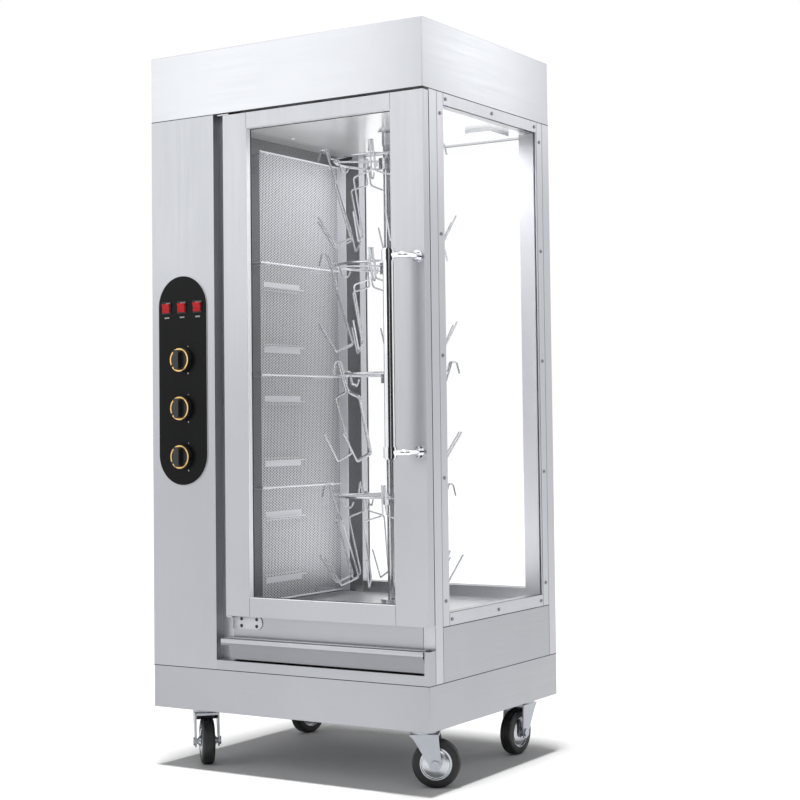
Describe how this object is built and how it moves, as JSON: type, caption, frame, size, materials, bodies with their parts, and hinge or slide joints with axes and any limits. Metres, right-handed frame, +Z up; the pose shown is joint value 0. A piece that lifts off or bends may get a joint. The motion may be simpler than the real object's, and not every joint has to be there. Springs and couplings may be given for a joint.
{
  "type": "gas chicken rotisserie",
  "caption": "Free-standing glazed gas rotisserie oven on castors, with a turning spindle, ring racks and hanging forks, a swinging glass door and a drip drawer.",
  "frame": {"origin": "middle of the footprint of the whole object, on the floor", "axes": "+X to the viewer's right when the viewer faces the door, +Y towards the back, +Z up"},
  "size_m": [0.7201, 0.6575, 1.58],
  "materials": {
    "stainless": "satin brushed stainless steel",
    "stainless_frame": "satin stainless steel",
    "chamber_steel": "bright stainless steel",
    "window_glass": "clear tempered glass",
    "screw_steel": "bright screws",
    "burner_steel": "plain steel",
    "ceramic": "unglazed ceramic",
    "gas_steel": "dark steel pipe",
    "brass": "machined brass",
    "feed_aluminium": "drawn tube",
    "black_plastic": "matt black",
    "ignition_plastic": "matt light grey",
    "motor_paint": "dark grey paint",
    "fascia_black": "glossy black",
    "rocker_red": "translucent red",
    "lamp_metal": "satin",
    "rubber_black": "black rubber",
    "chrome": "polished chrome",
    "zinc": "bright zinc plating",
    "castor_tyre": "black rubber on a zinc rim",
    "rack_steel": "bright stainless rod"
  },
  "bodies": {
    "cabinet": {"top_hood": "stainless", "base_plinth": "stainless", "cabinet_frame": "stainless_frame", "column_front_panel": "stainless", "left_side_panel": "stainless", "rear_panels": "stainless", "lower_side_panel": "stainless", "lower_front_panels": "stainless", "side_window_glass": "window_glass", "rear_window_glass": "window_glass", "window_trims": "stainless_frame", "panel_screws": "screw_steel", "burner_wall": "chamber_steel", "cavity_ceiling": "chamber_steel", "cavity_floor": "chamber_steel", "guard_screen": "chamber_steel", "burner_bodies": "burner_steel", "burner_tiles": "ceramic", "burner_brackets": "chamber_steel", "gas_manifold": "gas_steel", "gas_valves": "brass", "gas_tubes": "feed_aluminium", "gas_inlet": "brass", "cable_gland": "black_plastic", "ignition_module": "ignition_plastic", "gear_motor": "motor_paint", "control_fascia": "fascia_black", "switch_housings": "fascia_black", "hinge_plates": "stainless_frame", "lamp_housing": "lamp_metal", "lamp_cover": "window_glass", "tray_runners": "stainless_frame", "spindle_bearings": "brass", "castor_plates": "zinc", "door_catches": "black_plastic"},
    "door": {"door_frame": "stainless", "door_glass": "window_glass", "door_gasket": "rubber_black", "handle_bar": "chrome", "handle_brackets": "chrome"},
    "drawer": {"drip_tray": "chamber_steel", "tray_front": "stainless"},
    "rotor": {"spindle": "rack_steel", "drive_coupling": "chrome", "ring_racks": "rack_steel", "meat_forks": "rack_steel"},
    "knob_1": {"knob_1": "black_plastic"},
    "knob_2": {"knob_2": "black_plastic"},
    "knob_3": {"knob_3": "black_plastic"},
    "rocker_1": {"rocker_1": "rocker_red"},
    "rocker_2": {"rocker_2": "rocker_red"},
    "rocker_3": {"rocker_3": "rocker_red"},
    "castor_fork_front_left": {"castor_fork_front_left": "zinc"},
    "castor_wheel_front_left": {"castor_wheel_front_left": "castor_tyre"},
    "castor_fork_front_right": {"castor_fork_front_right": "zinc"},
    "castor_wheel_front_right": {"castor_wheel_front_right": "castor_tyre"},
    "castor_fork_rear_left": {"castor_fork_rear_left": "zinc"},
    "castor_wheel_rear_left": {"castor_wheel_rear_left": "castor_tyre"},
    "castor_fork_rear_right": {"castor_fork_rear_right": "zinc"},
    "castor_wheel_rear_right": {"castor_wheel_rear_right": "castor_tyre"}
  },
  "joints": [
    {"name": "door_swing", "type": "hinge", "parent": "cabinet", "child": "door", "pos_m": [-0.149, -0.248, 0.885], "axis": [0, 0, -1], "range_deg": [0, 120]},
    {"name": "tray_slide", "type": "slide", "parent": "cabinet", "child": "drawer", "axis": [0, -1, 0], "range_m": [0, 0.32]},
    {"name": "spindle_spin", "type": "hinge", "parent": "cabinet", "child": "rotor", "pos_m": [0.095, 0.01575, 0.9], "axis": [0, 0, 1], "continuous": true},
    {"name": "knob_1_turn", "type": "hinge", "parent": "cabinet", "child": "knob_1", "pos_m": [-0.272, -0.26925, 0.683], "axis": [0, -1, 0], "range_deg": [0, 210]},
    {"name": "knob_2_turn", "type": "hinge", "parent": "cabinet", "child": "knob_2", "pos_m": [-0.272, -0.26925, 0.79], "axis": [0, -1, 0], "range_deg": [0, 210]},
    {"name": "knob_3_turn", "type": "hinge", "parent": "cabinet", "child": "knob_3", "pos_m": [-0.272, -0.26925, 0.897], "axis": [0, -1, 0], "range_deg": [0, 210]},
    {"name": "rocker_1_tilt", "type": "hinge", "parent": "cabinet", "child": "rocker_1", "pos_m": [-0.316, -0.25725, 1.014], "axis": [-1, 0, 0], "range_deg": [0, 12]},
    {"name": "rocker_2_tilt", "type": "hinge", "parent": "cabinet", "child": "rocker_2", "pos_m": [-0.272, -0.25725, 1.014], "axis": [-1, 0, 0], "range_deg": [0, 12]},
    {"name": "rocker_3_tilt", "type": "hinge", "parent": "cabinet", "child": "rocker_3", "pos_m": [-0.228, -0.25725, 1.014], "axis": [-1, 0, 0], "range_deg": [0, 12]},
    {"name": "castor_swivel_front_left", "type": "hinge", "parent": "cabinet", "child": "castor_fork_front_left", "pos_m": [-0.288, -0.16925, 0.11], "axis": [0, 0, 1], "continuous": true},
    {"name": "castor_roll_front_left", "type": "hinge", "parent": "castor_fork_front_left", "child": "castor_wheel_front_left", "pos_m": [-0.26962, -0.18763, 0.05], "axis": [0.7071, 0.7071, 0], "continuous": true},
    {"name": "castor_swivel_front_right", "type": "hinge", "parent": "cabinet", "child": "castor_fork_front_right", "pos_m": [0.288, -0.16925, 0.11], "axis": [0, 0, 1], "continuous": true},
    {"name": "castor_roll_front_right", "type": "hinge", "parent": "castor_fork_front_right", "child": "castor_wheel_front_right", "pos_m": [0.31137, -0.15785, 0.05], "axis": [-0.4384, 0.8988, 0], "continuous": true},
    {"name": "castor_swivel_rear_left", "type": "hinge", "parent": "cabinet", "child": "castor_fork_rear_left", "pos_m": [-0.288, 0.25075, 0.11], "axis": [0, 0, 1], "continuous": true},
    {"name": "castor_roll_rear_left", "type": "hinge", "parent": "castor_fork_rear_left", "child": "castor_wheel_rear_left", "pos_m": [-0.29117, 0.22494, 0.05], "axis": [0.9925, -0.1219, 0], "continuous": true},
    {"name": "castor_swivel_rear_right", "type": "hinge", "parent": "cabinet", "child": "castor_fork_rear_right", "pos_m": [0.288, 0.25075, 0.11], "axis": [0, 0, 1], "continuous": true},
    {"name": "castor_roll_rear_right", "type": "hinge", "parent": "castor_fork_rear_right", "child": "castor_wheel_rear_right", "pos_m": [0.28755, 0.22475, 0.05], "axis": [0.9998, -0.0175, 0], "continuous": true}
  ]
}
